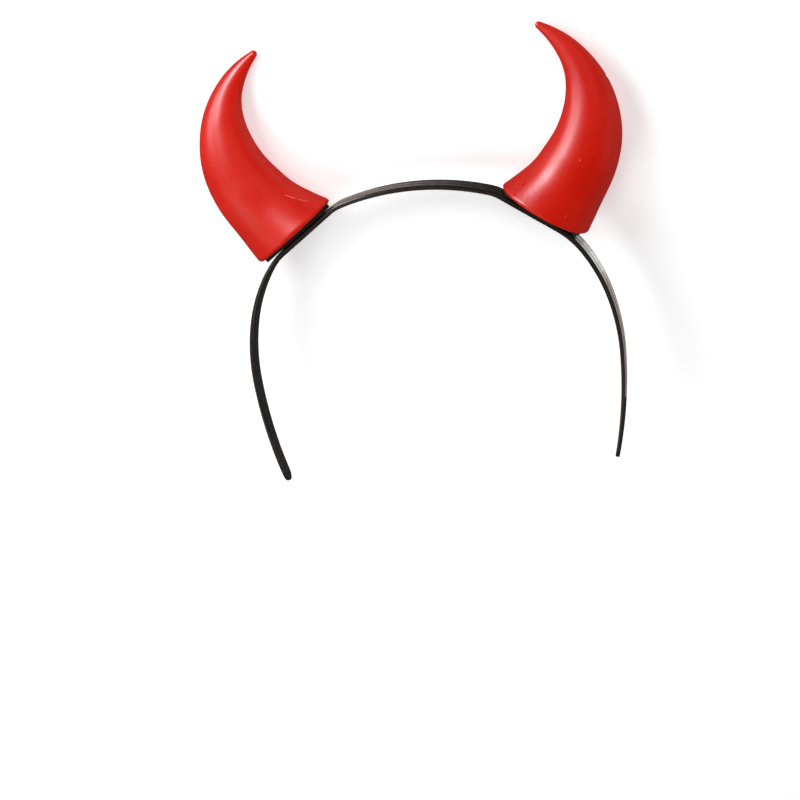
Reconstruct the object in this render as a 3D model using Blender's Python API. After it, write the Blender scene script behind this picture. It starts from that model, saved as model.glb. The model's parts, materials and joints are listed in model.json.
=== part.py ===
"""Devil horns headband: a black plastic band with two hollow red horns, lying on its back.

The band is drawn as it is worn, in its own plane: +X to the viewer's right, +Y to the crown,
+Z to the front. One parent empty then lays the whole thing down on the backs of its horns.
"""
import math
from collections import namedtuple

import bpy
from mathutils import Matrix, Vector

MM = 0.001
GAP = 0.3 * MM

# Band: half of its outer face, from the crown to one tip, as arcs that follow on smoothly
Stretch = namedtuple("Stretch", "place length turn")
BAND_STRETCHES = (
    Stretch("crown", 34.5 * MM, 17.0),
    Stretch("bend above the horn", 6 * MM, 18.5),
    Stretch("seat of the horn", 29 * MM, 0.0),
    Stretch("shoulder", 15 * MM, 22.0),
    Stretch("upper arm", 24 * MM, 18.5),
    Stretch("lower arm", 28 * MM, 16.5),
    Stretch("tail", 50 * MM, 14.0),
)
HALF_LENGTH = sum(stretch.length for stretch in BAND_STRETCHES)
CROWN_HEIGHT = 16.8 * MM
BAND_WIDTH = 12 * MM
BAND_THICKNESS = 2.4 * MM
TAPER_START = 86 * MM
TIP_WIDTH = 9 * MM
TIP_THICKNESS = 1.8 * MM
TIP_ROUND = 4 * MM
TIP_SHARES = (0.4, 0.7, 0.9, 0.98)
BAND_CORNER = 0.7 * MM
FACE_CROWN = 0.25 * MM
FACE_SHARES = (-1.0, -0.5, 0.0, 0.5, 1.0)
CORNER_ANGLES = (60, 30, 0)
BAND_STEP = 3 * MM

# Horn: sections along its spine, with the spine's lean inward and half the section's width
Section = namedtuple("Section", "along lean half_width")
HORN_SECTIONS = (
    Section(0.0 * MM, -14.0, 21.9 * MM),
    Section(7.0 * MM, -12.5, 19.9 * MM),
    Section(15.0 * MM, -5.5, 18.0 * MM),
    Section(30.0 * MM, 5.5, 16.3 * MM),
    Section(44.0 * MM, 22.5, 14.1 * MM),
    Section(59.0 * MM, 40.5, 10.7 * MM),
    Section(74.0 * MM, 61.0, 6.8 * MM),
    Section(87.0 * MM, 78.0, 3.9 * MM),
    Section(94.5 * MM, 87.0, 2.2 * MM),
    Section(98.3 * MM, 88.0, 1.4 * MM),
)
HORN_LENGTH = HORN_SECTIONS[-1].along
HORN_TIP_RADIUS = HORN_SECTIONS[-1].half_width
HORN_PLACE = 60 * MM
HORN_LIFT = 2.0 * MM
HORN_DEPTH_RATIO = 0.77
SQUARE_UP = 25 * MM
SPINE_STEP = 1 * MM
HORN_SIDES = 36
OUTER_ROWS = 26
INNER_ROWS = 17
TIP_ROW_SHARES = (0.1, 0.45, 0.75, 0.93)
HOLLOW_END_SHARES = (0.85, 0.5, 0.15)

# Horn's wall: thickest at the rim of the open base, where the outer edge is rounded
WALL = 1.6 * MM
LIP = 2.4 * MM
LIP_HEIGHT = 5 * MM
RIM_RADIUS = 2.1 * MM
RIM_ROWS = 3
HOLLOW_END = 86 * MM

# Foot: the block across the horn's open base
FOOT_WIDTH = 11 * MM
FOOT_REACH = 4 * MM
FOOT_ROWS = 3
FOOT_END_POINTS = 6

SHARP_EDGE = math.radians(40)
RED = (0.610, 0.026, 0.009)
RED_ROUGHNESS = 0.42
BLACK = (0.012, 0.011, 0.010)
BLACK_ROUGHNESS = 0.2


def clear_scene():
    for item in list(bpy.data.objects):
        bpy.data.objects.remove(item, do_unlink=True)


def plastic(name, colour, roughness):
    material = bpy.data.materials.new(name)
    material.use_nodes = True
    shader = material.node_tree.nodes["Principled BSDF"]
    shader.inputs["Base Color"].default_value = (*colour, 1.0)
    shader.inputs["Roughness"].default_value = roughness
    shader.inputs["Metallic"].default_value = 0.0
    return material


def solid_from_rings(name, rings, material):
    """One closed body lofted through rings with the same number of points each."""
    vertices = [point for ring in rings for point in ring]
    count = len(rings[0])
    faces = []
    for row in range(len(rings) - 1):
        for i in range(count):
            j = (i + 1) % count
            low = row * count
            high = low + count
            faces.append((low + i, low + j, high + j, high + i))
    faces.append(tuple(reversed(range(count))))
    faces.append(tuple(range(len(vertices) - count, len(vertices))))
    mesh = bpy.data.meshes.new(name)
    mesh.from_pydata(vertices, [], faces)
    mesh.materials.append(material)
    mesh.shade_smooth()
    mesh.set_sharp_from_angle(angle=SHARP_EDGE)
    body = bpy.data.objects.new(name, mesh)
    bpy.context.collection.objects.link(body)
    return body


def directions(slope):
    """Unit vectors along the band, away from the crown, and out of its outer face."""
    along = Vector((math.cos(slope), -math.sin(slope)))
    out = Vector((math.sin(slope), math.cos(slope)))
    return along, out


def band_place(distance):
    """Point on the band's outer face and its downward slope, at a distance from the crown."""
    point = Vector((0.0, CROWN_HEIGHT))
    slope = 0.0
    left = distance
    for stretch in BAND_STRETCHES:
        run = min(left, stretch.length)
        turn = math.radians(stretch.turn) * run / stretch.length
        chord = run if turn == 0.0 else 2 * run / turn * math.sin(turn / 2)
        point += chord * directions(slope + turn / 2)[0]
        slope += turn
        left -= run
    return point, slope


def band_outline(width, thickness):
    """Closed outline across the band: a faintly crowned outer face and rounded corners."""
    half = width / 2
    corner = min(BAND_CORNER, thickness / 3, half / 3)
    flat = half - corner
    outline = [(share * flat, -FACE_CROWN * share * share) for share in FACE_SHARES]
    corners = []
    for angle in CORNER_ANGLES:
        across = flat + corner * math.cos(math.radians(angle))
        depth = corner * (math.sin(math.radians(angle)) - 1) - FACE_CROWN
        corners.append((across, depth))
    outline += corners
    outline += [(half, corner - thickness), (flat, -thickness)]
    outline += [(-flat, -thickness), (-half, corner - thickness)]
    outline += [(-across, depth) for across, depth in reversed(corners)]
    return outline


def band_ring(distance, side):
    """The band's outline at one place, narrowed along the arm and rounded off at the tip."""
    point, slope = band_place(distance)
    out = directions(slope)[1]
    taper = max(0.0, (distance - TAPER_START) / (HALF_LENGTH - TAPER_START))
    width = BAND_WIDTH + (TIP_WIDTH - BAND_WIDTH) * taper
    thickness = BAND_THICKNESS + (TIP_THICKNESS - BAND_THICKNESS) * taper
    into_tip = max(0.0, (distance - HALF_LENGTH + TIP_ROUND) / TIP_ROUND)
    width *= math.sqrt(1 - into_tip * into_tip)
    ring = []
    for across, depth in band_outline(width, thickness):
        place = point + out * depth
        ring.append(Vector((side * place.x, place.y, across)))
    return ring


def make_headband(material):
    arm = HALF_LENGTH - TIP_ROUND
    steps = round(arm / BAND_STEP)
    distances = [arm * i / steps for i in range(steps + 1)]
    distances += [arm + TIP_ROUND * share for share in TIP_SHARES]
    left = [band_ring(distance, -1) for distance in reversed(distances[1:])]
    right = [band_ring(distance, 1) for distance in distances]
    return solid_from_rings("headband", left + right, material)


def section_value(column, along):
    """Read a column of the horn's table between its rows, on one smooth curve."""
    places = [section.along for section in HORN_SECTIONS]
    values = [getattr(section, column) for section in HORN_SECTIONS]
    last = len(HORN_SECTIONS) - 2
    row = max(i for i in range(last + 1) if i == 0 or places[i] <= along)
    spans = [places[i + 1] - places[i] for i in range(last + 1)]
    slopes = [(values[i + 1] - values[i]) / spans[i] for i in range(last + 1)]

    def tangent(i):
        if i == 0 or i == last + 1:
            return slopes[min(i, last)]
        mixed = slopes[i - 1] * spans[i] + slopes[i] * spans[i - 1]
        return mixed / (spans[i - 1] + spans[i])

    u = (along - places[row]) / spans[row]
    start = (1 + 2 * u) * (1 - u) ** 2 * values[row]
    start += u * (1 - u) ** 2 * spans[row] * tangent(row)
    end = u * u * (3 - 2 * u) * values[row + 1]
    end += u * u * (u - 1) * spans[row] * tangent(row + 1)
    return start + end


def horn_spine(along):
    """Centre of the horn's section and its turn, measured along the band and out from it."""
    steps = max(1, round(along / SPINE_STEP))
    centre = Vector((0.0, 0.0))
    for i in range(steps):
        lean = math.radians(section_value("lean", along * (i + 0.5) / steps))
        centre += along / steps * Vector((-math.sin(lean), math.cos(lean)))
    square = min(1.0, along / SQUARE_UP)
    square = square * square * (3 - 2 * square)
    turn = math.radians(section_value("lean", along)) * square
    return centre, turn


def horn_ring(along, side, inset, shrink=1.0, angles=None, drop=0.0):
    """An oval section of the horn, set in from its outside and lowered towards the band."""
    if angles is None:
        angles = [2 * math.pi * i / HORN_SIDES for i in range(HORN_SIDES)]
    point, slope = band_place(HORN_PLACE)
    along_band, out = directions(slope)
    base = point + (HORN_LIFT - drop) * out
    centre, turn = horn_spine(along)
    half_width = section_value("half_width", along)
    wide = (half_width - inset) * shrink
    deep = (half_width * HORN_DEPTH_RATIO - inset) * shrink
    across = Vector((math.cos(turn), math.sin(turn)))
    ring = []
    for angle in angles:
        place = centre + wide * math.cos(angle) * across
        flat = base + along_band * place.x + out * place.y
        ring.append(Vector((side * flat.x, flat.y, deep * math.sin(angle))))
    return ring


def wall_at(along):
    fade = max(0.0, 1 - along / LIP_HEIGHT)
    return WALL + (LIP - WALL) * fade * fade


def horn_outside(side):
    """Rings from the tip down to the start of the rounded rim."""
    rings = []
    for share in TIP_ROW_SHARES:
        short = HORN_TIP_RADIUS * (1 - math.sqrt(1 - share * share))
        rings.append(horn_ring(HORN_LENGTH - short, side, 0.0, share))
    top = HORN_LENGTH - HORN_TIP_RADIUS
    for row in range(OUTER_ROWS):
        rings.append(horn_ring(top + (RIM_RADIUS - top) * row / OUTER_ROWS, side, 0.0))
    return rings


def horn_rim(side):
    """Rings round the outer edge of the open base, from the horn's side to its underside."""
    rings = []
    for row in range(RIM_ROWS + 1):
        angle = math.pi / 2 * row / RIM_ROWS
        inset = RIM_RADIUS * (1 - math.cos(angle))
        rings.append(horn_ring(RIM_RADIUS * (1 - math.sin(angle)), side, inset))
    return rings


def horn_inside(side):
    """Rings up the hollow, from the open base to its rounded end."""
    rings = []
    for row in range(INNER_ROWS):
        along = HOLLOW_END * row / INNER_ROWS
        rings.append(horn_ring(along, side, wall_at(along)))
    for share in HOLLOW_END_SHARES:
        along = HOLLOW_END + HORN_TIP_RADIUS * math.sqrt(1 - share * share)
        rings.append(horn_ring(along, side, WALL, share))
    return rings


def make_horn(name, side, material):
    rings = horn_outside(side) + horn_rim(side) + horn_inside(side)
    if side < 0:
        rings.reverse()
    return solid_from_rings(name, rings, material)


def make_foot(name, side, material):
    """A block that spans the horn's open base from end to end and stands on the band's seat."""
    places = [(0.0, HORN_LIFT - GAP)]
    places += [(FOOT_REACH * row / (FOOT_ROWS - 1), 0.0) for row in range(FOOT_ROWS)]
    rings = []
    for along, drop in places:
        inset = wall_at(along) + GAP
        deep = section_value("half_width", along) * HORN_DEPTH_RATIO - inset
        edge = math.asin(FOOT_WIDTH / 2 / deep)
        angles = []
        for middle in (0.0, math.pi):
            for i in range(FOOT_END_POINTS):
                angles.append(middle + edge * (2 * i / (FOOT_END_POINTS - 1) - 1))
        rings.append(horn_ring(along, side, inset, angles=angles, drop=drop))
    if side > 0:
        rings.reverse()
    return solid_from_rings(name, rings, material)


def lay_down(bodies):
    """Lean the object back until the horns' backs lie on the table, centred over the origin."""
    points = [vertex.co for body in bodies for vertex in body.data.vertices]
    lowest = min(points, key=lambda point: point.z)
    beyond = [point for point in points if point.y > lowest.y + SQUARE_UP]
    lean = min(math.atan2(point.z - lowest.z, point.y - lowest.y) for point in beyond)
    turn = Matrix.Rotation(-lean, 4, "X")
    laid = [turn @ point for point in points]
    floor = min(point.z for point in laid)
    middle = (min(point.y for point in laid) + max(point.y for point in laid)) / 2
    rest = bpy.data.objects.new("rest", None)
    bpy.context.collection.objects.link(rest)
    rest.rotation_euler = (-lean, 0.0, 0.0)
    rest.location = (0.0, -middle, -floor)
    for body in bodies:
        body.parent = rest
    bpy.context.view_layer.update()


def main():
    clear_scene()
    red = plastic("red_plastic", RED, RED_ROUGHNESS)
    black = plastic("black_plastic", BLACK, BLACK_ROUGHNESS)
    bodies = [make_headband(black)]
    for name, side in (("left", -1), ("right", 1)):
        bodies.append(make_horn("horn_" + name, side, red))
        bodies.append(make_foot("horn_foot_" + name, side, black))
    lay_down(bodies)


main()
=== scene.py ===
"""Looks of the devil horns headband: satin red hollow horns on a glossy black plastic band.

The forms are drawn as worn, in the band's own plane: +X to the viewer's right, +Y to the crown,
+Z to the front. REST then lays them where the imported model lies.
"""

import json
import math
from collections import namedtuple

import bpy
from mathutils import Matrix, Vector


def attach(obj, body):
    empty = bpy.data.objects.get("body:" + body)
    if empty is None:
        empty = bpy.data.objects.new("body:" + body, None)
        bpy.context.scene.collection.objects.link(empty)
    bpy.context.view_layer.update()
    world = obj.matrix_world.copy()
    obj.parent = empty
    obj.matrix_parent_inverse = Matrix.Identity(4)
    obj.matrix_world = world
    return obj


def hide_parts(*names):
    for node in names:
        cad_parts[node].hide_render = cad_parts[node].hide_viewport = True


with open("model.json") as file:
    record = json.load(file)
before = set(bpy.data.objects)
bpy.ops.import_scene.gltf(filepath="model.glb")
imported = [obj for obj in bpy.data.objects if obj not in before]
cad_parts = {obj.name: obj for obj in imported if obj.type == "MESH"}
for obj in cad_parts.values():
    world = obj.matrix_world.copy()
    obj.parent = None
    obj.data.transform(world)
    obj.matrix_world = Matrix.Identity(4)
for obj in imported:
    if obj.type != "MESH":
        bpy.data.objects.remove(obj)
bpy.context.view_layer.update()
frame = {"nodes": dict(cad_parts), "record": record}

MM = 0.001
SHARP_ANGLE = 50.0

# Band: half of its outer face, from the crown to one tip, as arcs that follow on smoothly
Stretch = namedtuple("Stretch", "place length turn")
BAND_STRETCHES = (
    Stretch("crown", 34.5 * MM, 17.0),
    Stretch("bend above the horn", 6 * MM, 18.5),
    Stretch("seat of the horn", 29 * MM, 0.0),
    Stretch("shoulder", 15 * MM, 22.0),
    Stretch("upper arm", 24 * MM, 18.5),
    Stretch("lower arm", 28 * MM, 16.5),
    Stretch("tail", 50 * MM, 14.0),
)
HALF_LENGTH = sum(stretch.length for stretch in BAND_STRETCHES)
CROWN_HEIGHT = 16.8 * MM
BAND_WIDTH = 12 * MM
BAND_THICKNESS = 2.4 * MM
TAPER_START = 86 * MM
TIP_WIDTH = 9 * MM
TIP_THICKNESS = 1.8 * MM
TIP_ROUND = 4 * MM
TIP_DRAWN = 0.98
BAND_CORNER = 0.7 * MM
INNER_CORNER = 0.5 * MM
FACE_CROWN = 0.25 * MM
BAND_SKIN = 0.05 * MM
GROOVE_DEPTH = 0.2 * MM
GROOVE_PLACES = (-0.38, 0.38)
GROOVE_WIDTH = 0.4 * MM
FACE_POINTS = 61
CORNER_POINTS = 5
BAND_STEP = 1 * MM
TIP_ROWS = 10

# Horn: sections along its spine, with the spine's lean inward and half the section's width
Section = namedtuple("Section", "along lean half_width")
HORN_SECTIONS = (
    Section(0.0 * MM, -14.0, 21.9 * MM),
    Section(7.0 * MM, -12.5, 19.9 * MM),
    Section(15.0 * MM, -5.5, 18.0 * MM),
    Section(30.0 * MM, 5.5, 16.3 * MM),
    Section(44.0 * MM, 22.5, 14.1 * MM),
    Section(59.0 * MM, 40.5, 10.7 * MM),
    Section(74.0 * MM, 61.0, 6.8 * MM),
    Section(87.0 * MM, 78.0, 3.9 * MM),
    Section(94.5 * MM, 87.0, 2.2 * MM),
    Section(98.3 * MM, 88.0, 1.4 * MM),
)
HORN_LENGTH = HORN_SECTIONS[-1].along
HORN_TIP_RADIUS = HORN_SECTIONS[-1].half_width
HORN_PLACE = 60 * MM
HORN_LIFT = 2.0 * MM
HORN_DEPTH_RATIO = 0.77
SQUARE_UP = 25 * MM
SPINE_STEP = 1 * MM
WALL = 1.6 * MM
LIP = 2.4 * MM
LIP_HEIGHT = 5 * MM
RIM_RADIUS = 2.1 * MM
HOLLOW_END = 86 * MM
HORN_SIDES = 160
OUTER_ROWS = 230
INNER_ROWS = 60
RIM_ROWS = 10
TIP_ROWS_HORN = 12
TIP_FIRST_ROW = 0.4

# Fine relief of the moulded horn, all of it inside the plain form
SKIN = 0.16 * MM
SEAM_HEIGHT = 0.13 * MM
SEAM_WIDTH = 0.3 * MM
SEAM_CROWDING = 0.85
SEAM_FADE = 0.25
SEAM_FADE_LENGTH = 9 * MM
SEAM_FADE_SWING = 2.0
WAVE_HEIGHT = 0.02 * MM
LONG_WAVE = 5.3 * MM
LONG_WAVE_TURNS = 3
SHORT_WAVE = 3.1 * MM
SHORT_WAVE_TURNS = 5
NICK_PLACE = 63.5 * MM
NICK_LENGTH = 0.6 * MM
NICK_WIDTH = 2.5 * MM
NICK_DEPTH = 0.35 * MM

# Marks in the red skin, as the place along the horn and the angle round it
Mark = namedtuple("Mark", "side start end width")
SCRATCHES = (
    Mark(-1, (15.5 * MM, 140.0), (10.9 * MM, 145.5), 0.22 * MM),
    Mark(-1, (10.0 * MM, 146.5), (6.5 * MM, 152.0), 0.16 * MM),
)
RUBBED_PATCH = (7 * MM, 126.0)
Speck = namedtuple("Speck", "side along angle size")
SPECKS = (
    Speck(1, 31.0 * MM, 90.0, 0.34 * MM),
    Speck(1, 6.5 * MM, 66.0, 0.24 * MM),
)


def directions(slope):
    """Unit vectors along the band, away from the crown, and out of its outer face."""
    along = Vector((math.cos(slope), -math.sin(slope)))
    out = Vector((math.sin(slope), math.cos(slope)))
    return along, out


def band_place(distance):
    """Point on the band's outer face and its downward slope, at a distance from the crown."""
    point = Vector((0.0, CROWN_HEIGHT))
    slope = 0.0
    left = distance
    for stretch in BAND_STRETCHES:
        run = min(left, stretch.length)
        turn = math.radians(stretch.turn) * run / stretch.length
        chord = run if turn == 0.0 else 2 * run / turn * math.sin(turn / 2)
        point += chord * directions(slope + turn / 2)[0]
        slope += turn
        left -= run
    return point, slope


def rest_place():
    """The band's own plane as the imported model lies, read from its mount under the crown."""
    mounts = {mount["name"]: mount for mount in frame["record"]["mounts"]}
    crown = mounts["crown_rest"]
    up = -Vector(crown["axis"]).normalized()
    side = Vector((1.0, 0.0, 0.0))
    turn = Matrix((side, up, side.cross(up))).transposed()
    shift = Vector(crown["pos_m"]) - (CROWN_HEIGHT - BAND_THICKNESS) * up
    return Matrix.Translation(shift) @ turn.to_4x4()


REST = rest_place()


def mesh_piece(name, rings, uv_rings, material):
    """A closed lofted body with a coordinate in metres round it and along it for its material."""
    count = len(rings[0])
    vertices = [REST @ point for ring in rings for point in ring]
    faces = []
    uvs = []
    for row in range(len(rings) - 1):
        low = row * count
        high = low + count
        for i in range(count):
            j = (i + 1) % count
            faces.append((low + i, low + j, high + j, high + i))
            k = i + 1
            uvs += [uv_rings[row][i], uv_rings[row][k], uv_rings[row + 1][k], uv_rings[row + 1][i]]
    faces.append(tuple(reversed(range(count))))
    uvs += [uv_rings[0][i] for i in reversed(range(count))]
    last = len(vertices) - count
    faces.append(tuple(range(last, len(vertices))))
    uvs += [uv_rings[-1][i] for i in range(count)]
    mesh = bpy.data.meshes.new(name)
    mesh.from_pydata(vertices, [], faces)
    layer = mesh.uv_layers.new(name="surface")
    for loop, uv in zip(layer.data, uvs):
        loop.uv = uv
    mesh.materials.append(material)
    mesh.shade_smooth()
    mesh.set_sharp_from_angle(angle=math.radians(SHARP_ANGLE))
    piece = bpy.data.objects.new(name, mesh)
    bpy.context.collection.objects.link(piece)
    return piece


def band_outline(width, thickness, relief):
    """Outline across the band: a crowned face with two shallow grooves, rounded all round."""
    half = width / 2 - BAND_SKIN
    corner = min(BAND_CORNER, thickness / 3, half / 3)
    inner = min(INNER_CORNER, thickness / 3, half / 3)
    flat = half - corner
    outline = []
    for i in range(FACE_POINTS):
        share = 2 * i / (FACE_POINTS - 1) - 1
        across = share * flat
        depth = -FACE_CROWN * share * share
        for place in GROOVE_PLACES:
            away = (across - place * half) / GROOVE_WIDTH
            depth -= relief * GROOVE_DEPTH * math.exp(-away * away)
        outline.append((across, depth))
    corners = []
    for i in range(1, CORNER_POINTS + 1):
        angle = math.pi / 2 * (1 - i / CORNER_POINTS)
        across = flat + corner * math.cos(angle)
        corners.append((across, corner * (math.sin(angle) - 1) - FACE_CROWN))
    outline += corners
    under = []
    for i in range(CORNER_POINTS + 1):
        angle = math.pi / 2 * i / CORNER_POINTS
        across = half - inner * (1 - math.cos(angle))
        under.append((across, inner * (1 - math.sin(angle)) - thickness))
    outline += under
    outline += [(-across, depth) for across, depth in reversed(under)]
    outline += [(-across, depth) for across, depth in reversed(corners)]
    return outline


def outline_lengths(outline):
    """Distance round an outline at each of its points, and once more at its start."""
    lengths = [0.0]
    for i, point in enumerate(outline):
        following = outline[(i + 1) % len(outline)]
        lengths.append(lengths[-1] + math.dist(point, following))
    return lengths


def make_headband(material):
    arm = HALF_LENGTH - TIP_ROUND
    steps = round(arm / BAND_STEP)
    distances = [arm * i / steps for i in range(steps + 1)]
    for i in range(1, TIP_ROWS + 1):
        distances.append(arm + TIP_ROUND * TIP_DRAWN * math.sin(math.pi / 2 * i / TIP_ROWS))
    places = [(distance, -1) for distance in reversed(distances[1:])]
    places += [(distance, 1) for distance in distances]
    rings = []
    uv_rings = []
    for distance, side in places:
        point, slope = band_place(distance)
        out = directions(slope)[1]
        taper = max(0.0, (distance - TAPER_START) / (HALF_LENGTH - TAPER_START))
        width = BAND_WIDTH + (TIP_WIDTH - BAND_WIDTH) * taper
        thickness = BAND_THICKNESS + (TIP_THICKNESS - BAND_THICKNESS) * taper
        into_tip = max(0.0, (distance - arm) / TIP_ROUND)
        width *= math.sqrt(1 - into_tip * into_tip)
        outline = band_outline(width, thickness, 1 - into_tip)
        ring = []
        for across, depth in outline:
            place = point + out * depth
            ring.append(Vector((side * place.x, place.y, across)))
        rings.append(ring)
        uv_rings.append([(length, side * distance) for length in outline_lengths(outline)])
    return mesh_piece("hair_band", rings, uv_rings, material)


def section_value(column, along):
    """Read a column of the horn's table between its rows, on one smooth curve."""
    places = [section.along for section in HORN_SECTIONS]
    values = [getattr(section, column) for section in HORN_SECTIONS]
    last = len(HORN_SECTIONS) - 2
    row = max(i for i in range(last + 1) if i == 0 or places[i] <= along)
    spans = [places[i + 1] - places[i] for i in range(last + 1)]
    slopes = [(values[i + 1] - values[i]) / spans[i] for i in range(last + 1)]

    def tangent(i):
        if i == 0 or i == last + 1:
            return slopes[min(i, last)]
        mixed = slopes[i - 1] * spans[i] + slopes[i] * spans[i - 1]
        return mixed / (spans[i - 1] + spans[i])

    u = (along - places[row]) / spans[row]
    start = (1 + 2 * u) * (1 - u) ** 2 * values[row]
    start += u * (1 - u) ** 2 * spans[row] * tangent(row)
    end = u * u * (3 - 2 * u) * values[row + 1]
    end += u * u * (u - 1) * spans[row] * tangent(row + 1)
    return start + end


def horn_spine(along):
    """Centre of the horn's section and its turn, measured along the band and out from it."""
    steps = max(1, round(along / SPINE_STEP))
    centre = Vector((0.0, 0.0))
    for i in range(steps):
        lean = math.radians(section_value("lean", along * (i + 0.5) / steps))
        centre += along / steps * Vector((-math.sin(lean), math.cos(lean)))
    square = min(1.0, along / SQUARE_UP)
    square = square * square * (3 - 2 * square)
    turn = math.radians(section_value("lean", along)) * square
    return centre, turn


def horn_angles():
    """Angles round a section, crowded together at the two seams."""
    angles = []
    for i in range(HORN_SIDES):
        share = 2 * i / HORN_SIDES
        crowding = SEAM_CROWDING * math.sin(2 * math.pi * share) / (2 * math.pi)
        angles.append(math.pi * (share - crowding))
    return angles


HORN_ANGLES = horn_angles()


def skin_depth(along, angle, deep, side):
    """How far the moulded surface lies inside the plain form."""
    seam_away = deep * math.sin(angle) / SEAM_WIDTH
    fade_turn = along / SEAM_FADE_LENGTH + SEAM_FADE_SWING * math.cos(angle)
    fade = 1 - SEAM_FADE + SEAM_FADE * math.sin(fade_turn)
    seam = SEAM_HEIGHT * fade * math.exp(-seam_away * seam_away)
    long_wave = math.sin(along / LONG_WAVE + LONG_WAVE_TURNS * angle)
    short_wave = math.sin(along / SHORT_WAVE - SHORT_WAVE_TURNS * angle + 1)
    depth = SKIN - seam - WAVE_HEIGHT * 0.5 * (long_wave + short_wave)
    if side > 0 and math.cos(angle) > 0:
        nick_along = (along - NICK_PLACE) / NICK_LENGTH
        nick_round = deep * math.sin(angle) / NICK_WIDTH
        depth += NICK_DEPTH * math.exp(-nick_along * nick_along - nick_round * nick_round)
    return depth


def horn_ring(along, side, inset, shrink=1.0, moulded=False):
    """An oval section of the horn, set in from its outside, and the places round it."""
    point, slope = band_place(HORN_PLACE)
    along_band, out = directions(slope)
    base = point + HORN_LIFT * out
    centre, turn = horn_spine(along)
    half_width = section_value("half_width", along)
    wide = (half_width - inset) * shrink
    deep = (half_width * HORN_DEPTH_RATIO - inset) * shrink
    across = Vector((math.cos(turn), math.sin(turn)))
    ring = []
    for angle in HORN_ANGLES:
        skin = skin_depth(along, angle, deep, side) * shrink if moulded else 0.0
        place = centre + (wide - skin) * math.cos(angle) * across
        flat = base + along_band * place.x + out * place.y
        ring.append(Vector((side * flat.x, flat.y, (deep - skin) * math.sin(angle))))
    radius = (wide + deep) / 2
    turns = HORN_ANGLES + [2 * math.pi]
    uvs = [(angle * radius, along) for angle in turns]
    return ring, uvs


def horn_point(along, degrees, side):
    """A point of the horn's plain outside, and the way out of it, where the model lies."""
    point, slope = band_place(HORN_PLACE)
    along_band, out = directions(slope)
    base = point + HORN_LIFT * out
    centre, turn = horn_spine(along)
    half_width = section_value("half_width", along)
    across = Vector((math.cos(turn), math.sin(turn)))
    angle = math.radians(degrees)
    place = centre + (half_width - SKIN) * math.cos(angle) * across
    flat = base + along_band * place.x + out * place.y
    deep = half_width * HORN_DEPTH_RATIO
    outward = math.cos(angle) / half_width * across
    flat_out = along_band * outward.x + out * outward.y
    normal = Vector((side * flat_out.x, flat_out.y, math.sin(angle) / deep)).normalized()
    surface = Vector((side * flat.x, flat.y, (deep - SKIN) * math.sin(angle)))
    return REST @ surface, REST.to_3x3() @ normal


def wall_at(along):
    fade = max(0.0, 1 - along / LIP_HEIGHT)
    return WALL + (LIP - WALL) * fade * fade


def make_horn(name, side, material):
    rows = []
    for i in range(TIP_ROWS_HORN):
        share = math.sin(math.pi / 2 * (i + TIP_FIRST_ROW) / TIP_ROWS_HORN)
        short = HORN_TIP_RADIUS * (1 - math.sqrt(1 - share * share))
        rows.append(horn_ring(HORN_LENGTH - short, side, 0.0, share, True))
    top = HORN_LENGTH - HORN_TIP_RADIUS
    for row in range(OUTER_ROWS):
        along = top + (RIM_RADIUS - top) * row / OUTER_ROWS
        rows.append(horn_ring(along, side, 0.0, 1.0, True))
    for row in range(RIM_ROWS + 1):
        angle = math.pi / 2 * row / RIM_ROWS
        inset = RIM_RADIUS * (1 - math.cos(angle))
        rows.append(horn_ring(RIM_RADIUS * (1 - math.sin(angle)), side, inset, 1.0, True))
    for row in range(INNER_ROWS):
        along = HOLLOW_END * row / INNER_ROWS
        rows.append(horn_ring(along, side, wall_at(along)))
    for i in range(1, TIP_ROWS_HORN):
        share = math.cos(math.pi / 2 * i / TIP_ROWS_HORN)
        along = HOLLOW_END + HORN_TIP_RADIUS * math.sqrt(1 - share * share)
        rows.append(horn_ring(along, side, WALL, share))
    if side < 0:
        rows.reverse()
    rings = [ring for ring, uvs in rows]
    uv_rings = [uvs for ring, uvs in rows]
    return mesh_piece(name, rings, uv_rings, material)


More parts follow.
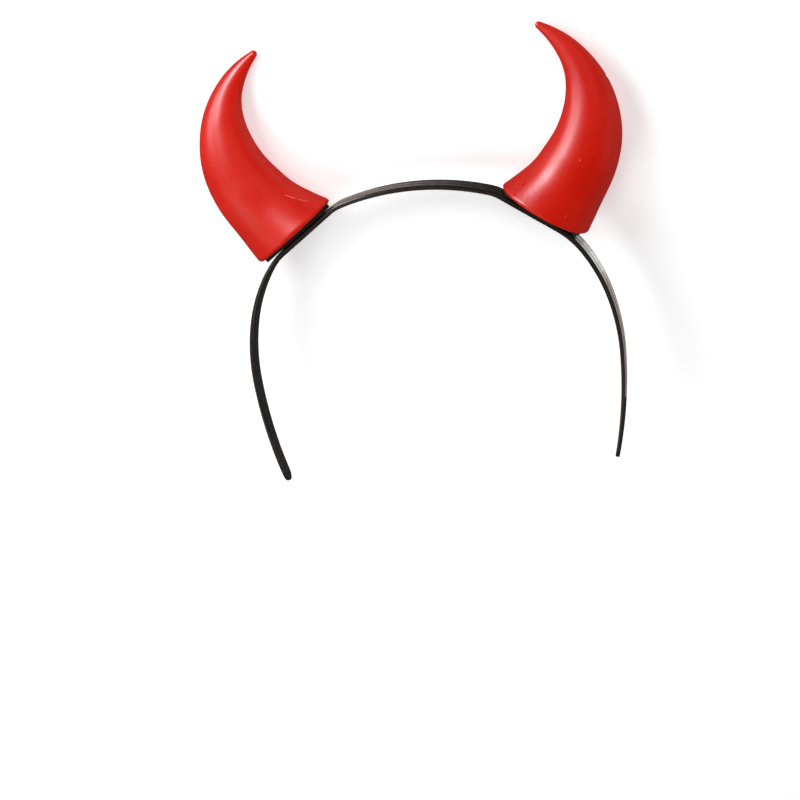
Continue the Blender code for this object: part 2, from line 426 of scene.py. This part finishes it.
class Nodes:
    """A short way to write a material's node tree."""

    def __init__(self, name):
        self.material = bpy.data.materials.new(name)
        self.material.use_nodes = True
        self.tree = self.material.node_tree
        self.shader = self.tree.nodes["Principled BSDF"]

    def add(self, kind):
        return self.tree.nodes.new("ShaderNode" + kind)

    def feed(self, socket, value):
        if isinstance(value, bpy.types.NodeSocket):
            self.tree.links.new(value, socket)
        else:
            socket.default_value = value

    def shade(self, name, value):
        self.feed(self.shader.inputs[name], value)

    def math(self, operation, first, second=0.0):
        node = self.add("Math")
        node.operation = operation
        self.feed(node.inputs[0], first)
        self.feed(node.inputs[1], second)
        return node.outputs[0]

    def vector(self, operation, first, second=(0.0, 0.0, 0.0)):
        node = self.add("VectorMath")
        node.operation = operation
        self.feed(node.inputs[0], first)
        self.feed(node.inputs[1], second)
        one_number = operation in ("DOT_PRODUCT", "LENGTH")
        return node.outputs["Value" if one_number else "Vector"]

    def noise(self, vector, scale, detail):
        node = self.add("TexNoise")
        self.feed(node.inputs["Vector"], vector)
        node.inputs["Scale"].default_value = scale
        node.inputs["Detail"].default_value = detail
        return node.outputs["Fac"]

    def stretched_noise(self, vector, scale, detail):
        node = self.add("Mapping")
        self.feed(node.inputs["Vector"], vector)
        node.inputs["Scale"].default_value = scale
        return self.noise(node.outputs["Vector"], 1.0, detail)

    def between(self, value, low, high, to_low=0.0, to_high=1.0, smooth=False):
        node = self.add("MapRange")
        if smooth:
            node.interpolation_type = "SMOOTHSTEP"
        for socket, number in zip(node.inputs, (value, low, high, to_low, to_high)):
            self.feed(socket, number)
        return node.outputs["Result"]

    def mix(self, factor, first, second):
        node = self.add("Mix")
        node.data_type = "RGBA"
        self.feed(node.inputs["Factor"], factor)
        self.feed(node.inputs[MIX_FIRST], first)
        self.feed(node.inputs[MIX_SECOND], second)
        return node.outputs[MIX_RESULT]

    def bump(self, height, distance, strength):
        node = self.add("Bump")
        node.inputs["Strength"].default_value = strength
        node.inputs["Distance"].default_value = distance
        self.feed(node.inputs["Height"], height)
        self.shade("Normal", node.outputs["Normal"])


# Places of the colour sockets on Blender's mix node
MIX_FIRST = 6
MIX_SECOND = 7
MIX_RESULT = 2

# Noises: how fine they are, their scale per metre and the span of their values that is used
PLAIN = 1.0
SOFT = 2.0
FINE = 3.0
NOISE_SPAN = (0.3, 0.7)
CLOUD_SCALE = 55.0
CLOUD_SPAN = (0.35, 0.65)
MOTTLE_SCALE = 700.0
MOTTLE_SPAN = (0.3, 0.75)
STREAK_SCALE = (1500.0, 160.0, 1.0)
STREAK_SPAN = (0.38, 0.62)
LINE_SCALE = (2600.0, 22.0, 1.0)
LINE_SPAN = (0.35, 0.7)
TRACK_SCALE = (900.0, 9.0, 1.0)
TRACK_SPAN = (0.5, 0.7)
WEAR_SCALE = 120.0
GRAIN_SCALE = 1400.0
FLOOR_SCALE = 3.0

# Red moulding
RED_DEEP = (0.60, 0.0075, 0.0008, 1.0)
RED_CLEAR = (0.65, 0.010, 0.0012, 1.0)
RED_MOTTLE = (0.69, 0.014, 0.003, 1.0)
MOTTLE_SHARE = 0.3
SCRATCH_COLOUR = (0.85, 0.22, 0.16, 1.0)
SCRATCH_SHARE = 0.75
SCRATCH_FADE = 0.85
SCRATCH_RELIEF = 1.5
SPECK_COLOUR = (0.90, 0.42, 0.30, 1.0)
SPECK_SHARE = 0.65
SPECK_FADE = 0.6
RUBBED_REACH = (3 * MM, 12 * MM)
RUBBED_GLOSS = (0.05, -0.07)
RUBBED_RELIEF = 0.3
RED_ROUGHNESS = (0.29, 0.35)
CLOUD_ROUGHNESS = (-0.02, 0.03)
RED_RELIEF = 0.012 * MM
MOULDED_BUMP = 0.5

# Black moulding of the band and of the feet
BLACK_DEEP = (0.010, 0.008, 0.007, 1.0)
BLACK_DRAWN = (0.030, 0.024, 0.020, 1.0)
BLACK_WORN = (0.045, 0.035, 0.029, 1.0)
BLACK_ROUGHNESS = (0.12, 0.24)
WEAR_ROUGHNESS = (-0.02, 0.04)
TRACK_RELIEF = 2.0
BLACK_RELIEF = 0.02 * MM
FOOT_DEEP = (0.008, 0.008, 0.008, 1.0)
FOOT_PALE = (0.022, 0.020, 0.018, 1.0)
FOOT_ROUGHNESS = (0.4, 0.6)
FOOT_RELIEF = 0.05 * MM
FOOT_BUMP = 0.6

# Floor
FLOOR_GREY = (0.86, 0.86, 0.86, 1.0)
FLOOR_PALE = (0.89, 0.89, 0.89, 1.0)
FLOOR_ROUGHNESS = 0.9
FLOOR_SPECULAR = 0.1
FLOOR_GLOW = 0.4
FLOOR_HALF = 3.0
FULL_WHITE = (1.0, 1.0, 1.0, 1.0)


def scratch_mask(nodes, place, mark):
    """One where the surface is within a thin slot cut between the mark's two ends."""
    start, normal = horn_point(*mark.start, mark.side)
    end = horn_point(*mark.end, mark.side)[0]
    middle = (start + end) / 2
    across = normal.cross(end - start).normalized()
    offset = nodes.vector("SUBTRACT", place, middle)
    away = nodes.math("ABSOLUTE", nodes.vector("DOT_PRODUCT", offset, across))
    slot = nodes.between(away, mark.width / 2, mark.width, 1.0, 0.0)
    half = (end - start).length / 2
    reach = nodes.between(nodes.vector("LENGTH", offset), half * SCRATCH_FADE, half, 1.0, 0.0)
    return nodes.math("MULTIPLY", slot, reach)


def distance_from(nodes, place, along, angle, side):
    """How far the surface is from a point of the horn."""
    centre = horn_point(along, angle, side)[0]
    return nodes.vector("LENGTH", nodes.vector("SUBTRACT", place, centre))


def speck_mask(nodes, place, speck):
    away = distance_from(nodes, place, speck.along, speck.angle, speck.side)
    return nodes.between(away, speck.size * SPECK_FADE, speck.size, 1.0, 0.0)


def red_plastic(name):
    """Satin red moulding: faint clouding, a rubbed patch by one open base, a scratch and specks."""
    nodes = Nodes(name)
    place = nodes.add("TexCoord").outputs["Object"]
    surface = nodes.add("UVMap").outputs["UV"]
    clouds = nodes.noise(place, CLOUD_SCALE, FINE)
    mottle = nodes.noise(place, MOTTLE_SCALE, SOFT)
    streaks = nodes.stretched_noise(surface, STREAK_SCALE, FINE)
    rubbed = distance_from(nodes, place, *RUBBED_PATCH, 1)
    rubbed = nodes.between(rubbed, *RUBBED_REACH, 1.0, 0.0, smooth=True)
    marks = 0.0
    for scratch in SCRATCHES:
        marks = nodes.math("MAXIMUM", marks, scratch_mask(nodes, place, scratch))
    spots = 0.0
    for speck in SPECKS:
        spots = nodes.math("MAXIMUM", spots, speck_mask(nodes, place, speck))
    base = nodes.mix(nodes.between(clouds, *CLOUD_SPAN), RED_DEEP, RED_CLEAR)
    base = nodes.mix(nodes.between(mottle, *MOTTLE_SPAN, 0.0, MOTTLE_SHARE), base, RED_MOTTLE)
    base = nodes.mix(nodes.math("MULTIPLY", marks, SCRATCH_SHARE), base, SCRATCH_COLOUR)
    base = nodes.mix(nodes.math("MULTIPLY", spots, SPECK_SHARE), base, SPECK_COLOUR)
    nodes.shade("Base Color", base)
    cloudy = nodes.between(clouds, *NOISE_SPAN, *CLOUD_ROUGHNESS)
    rough = nodes.math("ADD", cloudy, nodes.between(mottle, *NOISE_SPAN, *RED_ROUGHNESS))
    drawn = nodes.math("MULTIPLY", rubbed, nodes.between(streaks, *STREAK_SPAN, *RUBBED_GLOSS))
    nodes.shade("Roughness", nodes.math("ADD", rough, drawn))
    ridges = nodes.math("MULTIPLY", nodes.math("MULTIPLY", rubbed, streaks), RUBBED_RELIEF)
    height = nodes.math("ADD", mottle, ridges)
    height = nodes.math("SUBTRACT", height, nodes.math("MULTIPLY", marks, SCRATCH_RELIEF))
    nodes.bump(height, RED_RELIEF, MOULDED_BUMP)
    return nodes.material


def black_plastic(name):
    """Glossy black moulding, brownish where it is worn, with fine lines drawn along the band."""
    nodes = Nodes(name)
    surface = nodes.add("UVMap").outputs["UV"]
    place = nodes.add("TexCoord").outputs["Object"]
    lines = nodes.stretched_noise(surface, LINE_SCALE, FINE)
    tracks = nodes.stretched_noise(surface, TRACK_SCALE, PLAIN)
    wear = nodes.noise(place, WEAR_SCALE, SOFT)
    base = nodes.mix(nodes.between(lines, *LINE_SPAN), BLACK_DEEP, BLACK_DRAWN)
    base = nodes.mix(nodes.between(tracks, *TRACK_SPAN), base, BLACK_WORN)
    nodes.shade("Base Color", base)
    rough = nodes.between(lines, *NOISE_SPAN, *BLACK_ROUGHNESS)
    worn = nodes.between(wear, *NOISE_SPAN, *WEAR_ROUGHNESS)
    nodes.shade("Roughness", nodes.math("ADD", rough, worn))
    height = nodes.math("ADD", lines, nodes.math("MULTIPLY", tracks, TRACK_RELIEF))
    nodes.bump(height, BLACK_RELIEF, MOULDED_BUMP)
    return nodes.material


def foot_plastic(name):
    """Plain black block, duller than the band, with a moulded grain."""
    nodes = Nodes(name)
    place = nodes.add("TexCoord").outputs["Object"]
    grain = nodes.noise(place, GRAIN_SCALE, FINE)
    nodes.shade("Base Color", nodes.mix(grain, FOOT_DEEP, FOOT_PALE))
    nodes.shade("Roughness", nodes.between(grain, *NOISE_SPAN, *FOOT_ROUGHNESS))
    nodes.bump(grain, FOOT_RELIEF, FOOT_BUMP)
    return nodes.material


def floor_material():
    nodes = Nodes("pale_floor")
    place = nodes.add("TexCoord").outputs["Object"]
    soft = nodes.noise(place, FLOOR_SCALE, SOFT)
    nodes.shade("Base Color", nodes.mix(soft, FLOOR_GREY, FLOOR_PALE))
    nodes.shade("Roughness", FLOOR_ROUGHNESS)
    nodes.shade("Specular IOR Level", FLOOR_SPECULAR)
    nodes.shade("Emission Color", FULL_WHITE)
    nodes.shade("Emission Strength", FLOOR_GLOW)
    return nodes.material


def make_floor():
    """A plain pale floor, left out of mirror reflections so that the dark sides stay deep."""
    half = FLOOR_HALF
    mesh = bpy.data.meshes.new("floor")
    corners = [(-half, -half, 0.0), (half, -half, 0.0), (half, half, 0.0), (-half, half, 0.0)]
    mesh.from_pydata(corners, [], [(0, 1, 2, 3)])
    mesh.materials.append(floor_material())
    floor = bpy.data.objects.new("floor", mesh)
    floor.visible_glossy = False
    bpy.context.collection.objects.link(floor)


# Camera: its turn about the standing band, its height, its roll and where the band's middle falls
CAMERA_TURN = 0.2131438
CAMERA_HEIGHT = 0.2847138
CAMERA_ROLL = 0.1370016
CAMERA_DISTANCE = 1.3
IMAGE_SIZE = 800
MIDDLE_ACROSS = 418.589
MIDDLE_DOWN = 219.461
FOCAL_PIXELS = CAMERA_DISTANCE / (0.445 * MM)
SENSOR = 36.0
CLIP_START = 0.01
CLIP_END = 50.0


def camera_axes():
    """Right, up and back of the camera, in the band's own plane."""
    back = Vector((
        math.sin(CAMERA_TURN) * math.cos(CAMERA_HEIGHT),
        math.sin(CAMERA_HEIGHT),
        math.cos(CAMERA_TURN) * math.cos(CAMERA_HEIGHT),
    ))
    level = Vector((0.0, 1.0, 0.0)).cross(back).normalized()
    upright = back.cross(level)
    right = math.cos(CAMERA_ROLL) * level - math.sin(CAMERA_ROLL) * upright
    up = math.sin(CAMERA_ROLL) * level + math.cos(CAMERA_ROLL) * upright
    return right, up, back


RIGHT, UP, BACK = camera_axes()


def make_camera():
    across = (MIDDLE_ACROSS - IMAGE_SIZE / 2) / FOCAL_PIXELS * CAMERA_DISTANCE
    down = (MIDDLE_DOWN - IMAGE_SIZE / 2) / FOCAL_PIXELS * CAMERA_DISTANCE
    place = CAMERA_DISTANCE * BACK - across * RIGHT + down * UP
    data = bpy.data.cameras.new("camera")
    data.sensor_width = SENSOR
    data.lens = FOCAL_PIXELS * SENSOR / IMAGE_SIZE
    data.clip_start = CLIP_START
    data.clip_end = CLIP_END
    camera = bpy.data.objects.new("camera", data)
    turn = Matrix((RIGHT, UP, BACK)).transposed().to_4x4()
    camera.matrix_world = REST @ Matrix.Translation(place) @ turn
    bpy.context.collection.objects.link(camera)
    bpy.context.scene.camera = camera


WHITE = (1.0, 1.0, 1.0)
PINKISH = (1.0, 0.92, 1.0)
YELLOWISH = (1.0, 0.9, 0.65)
CREAM = (1.0, 0.9, 0.85)
BROWNISH = (1.0, 0.85, 0.77)

# Soft boxes round the object, each towards right, up and back in the camera's own terms
MIDDLE = Vector((0.0, 0.02, 0.02))
Light = namedtuple("Light", "name toward distance size power fills shines tint")
LIGHTS = (
    Light("key", (-0.69, 0.27, 0.67), 0.6, (0.3, 0.3), 1.8, True, False, WHITE),
    Light("shine", (-0.69, 0.27, 0.67), 0.5, (0.13, 0.18), 2.3, False, True, PINKISH),
    Light("glow", (-0.93, 0.12, 0.36), 0.5, (0.16, 0.16), 0.6, False, True, PINKISH),
    Light("sheen", (-0.85, -0.1, 0.55), 1.0, (1.0, 1.2), 1.6, False, True, YELLOWISH),
    Light("front", (0.1, 0.3, 0.95), 1.8, (1.4, 1.4), 12.5, True, False, WHITE),
    Light("side", (0.9, -0.2, 0.5), 1.2, (0.8, 0.8), 3.0, True, False, WHITE),
    Light("below", (-0.6, -0.7, 0.38), 1.0, (0.6, 0.6), 5.0, True, False, WHITE),
)

# Lit cards on the floor beside the band, side by side, between two distances from the crown.
# The distances are negative on the viewer's left.
CARD_HEIGHT = 0.5 * MM
CARD_OVERLAP = 3 * MM
CROWN_REACH = 20 * MM
ARM_REACH = 30 * MM
Card = namedtuple("Card", "start end strength tint")
CROWN_CARDS = (
    Card(-48 * MM, -18 * MM, 0.8, BROWNISH),
    Card(-18 * MM, -12 * MM, 0.72, BROWNISH),
    Card(-12 * MM, -6 * MM, 0.64, BROWNISH),
    Card(-6 * MM, 0 * MM, 0.5, BROWNISH),
    Card(0 * MM, 6 * MM, 0.36, BROWNISH),
    Card(6 * MM, 12 * MM, 0.26, BROWNISH),
    Card(12 * MM, 18 * MM, 0.18, BROWNISH),
    Card(18 * MM, 24 * MM, 0.1, BROWNISH),
    Card(24 * MM, 30 * MM, 0.05, BROWNISH),
)
ARM_CARDS = (
    Card(80 * MM, 86 * MM, 1.2, WHITE),
    Card(86 * MM, 92 * MM, 2.0, WHITE),
    Card(92 * MM, 98 * MM, 2.7, WHITE),
    Card(98 * MM, 104 * MM, 2.4, WHITE),
    Card(104 * MM, 110 * MM, 1.7, CREAM),
    Card(110 * MM, 118 * MM, 1.1, BROWNISH),
    Card(118 * MM, 128 * MM, 0.95, BROWNISH),
    Card(128 * MM, 140 * MM, 0.85, BROWNISH),
    Card(140 * MM, 155 * MM, 0.75, BROWNISH),
    Card(155 * MM, 172 * MM, 0.65, BROWNISH),
)


def add_area(name, size, power, tint):
    """An area light that the camera doesn't see."""
    data = bpy.data.lights.new(name, "AREA")
    data.shape = "RECTANGLE"
    data.size, data.size_y = size
    data.energy = power
    data.color = tint
    area = bpy.data.objects.new(name, data)
    area.visible_camera = False
    bpy.context.collection.objects.link(area)
    return area


def make_light(light):
    right, up, back = light.toward
    toward = (REST.to_3x3() @ (right * RIGHT + up * UP + back * BACK)).normalized()
    area = add_area(light.name, light.size, light.power, light.tint)
    area.visible_diffuse = light.fills
    area.visible_glossy = light.shines
    area.location = MIDDLE + light.distance * toward
    area.rotation_euler = toward.to_track_quat("Z", "Y").to_euler()


def make_card(name, only, card, reach):
    """A lit card on the floor, which only one piece's gloss shows."""
    ends = []
    for distance in (card.start, card.end):
        point = band_place(abs(distance))[0]
        ends.append(REST @ Vector((math.copysign(point.x, distance), point.y, 0.0)))
    run = (ends[1] - ends[0]).to_2d()
    out = Vector((-run.y, run.x)).normalized()
    middle = (ends[0] + ends[1]).to_2d() / 2 + out * reach / 2
    length = run.length + CARD_OVERLAP
    area = add_area(name, (length, reach), card.strength * math.pi * length * reach, card.tint)
    area.visible_diffuse = False
    area.location = (middle.x, middle.y, CARD_HEIGHT)
    area.rotation_euler = (math.pi, 0.0, math.atan2(run.y, run.x))
    receivers = bpy.data.collections.new(name)
    receivers.objects.link(only)
    area.light_linking.receiver_collection = receivers


# How bright the world is to the camera and to everything else
WORLD_SEEN = 0.95
WORLD_FILL = 0.04


def make_world():
    world = bpy.data.worlds.new("studio")
    world.use_nodes = True
    tree = world.node_tree
    background = tree.nodes["Background"]
    background.inputs["Color"].default_value = FULL_WHITE
    seen = tree.nodes.new("ShaderNodeLightPath").outputs["Is Camera Ray"]
    strength = tree.nodes.new("ShaderNodeMapRange")
    strength.inputs["To Min"].default_value = WORLD_FILL
    strength.inputs["To Max"].default_value = WORLD_SEEN
    tree.links.new(seen, strength.inputs["Value"])
    tree.links.new(strength.outputs["Result"], background.inputs["Strength"])
    bpy.context.scene.world = world
    bpy.context.scene.view_settings.view_transform = "Standard"


def main():
    make_camera()
    make_floor()
    make_world()
    for light in LIGHTS:
        make_light(light)
    red = red_plastic("red_satin")
    band = make_headband(black_plastic("black_gloss"))
    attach(band, "root")
    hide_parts("headband")
    for i, card in enumerate(CROWN_CARDS):
        make_card("card_crown_%d" % i, band, card, CROWN_REACH)
    for i, card in enumerate(ARM_CARDS):
        make_card("card_arm_%d" % i, band, card, ARM_REACH)
    foot_black = foot_plastic("black_matte")
    for word, side in (("left", -1), ("right", 1)):
        horn = make_horn("red_horn_" + word, side, red)
        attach(horn, "root")
        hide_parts("horn_" + word)
        foot = frame["nodes"]["horn_foot_" + word]
        for place in foot.material_slots:
            place.material = foot_black


main()
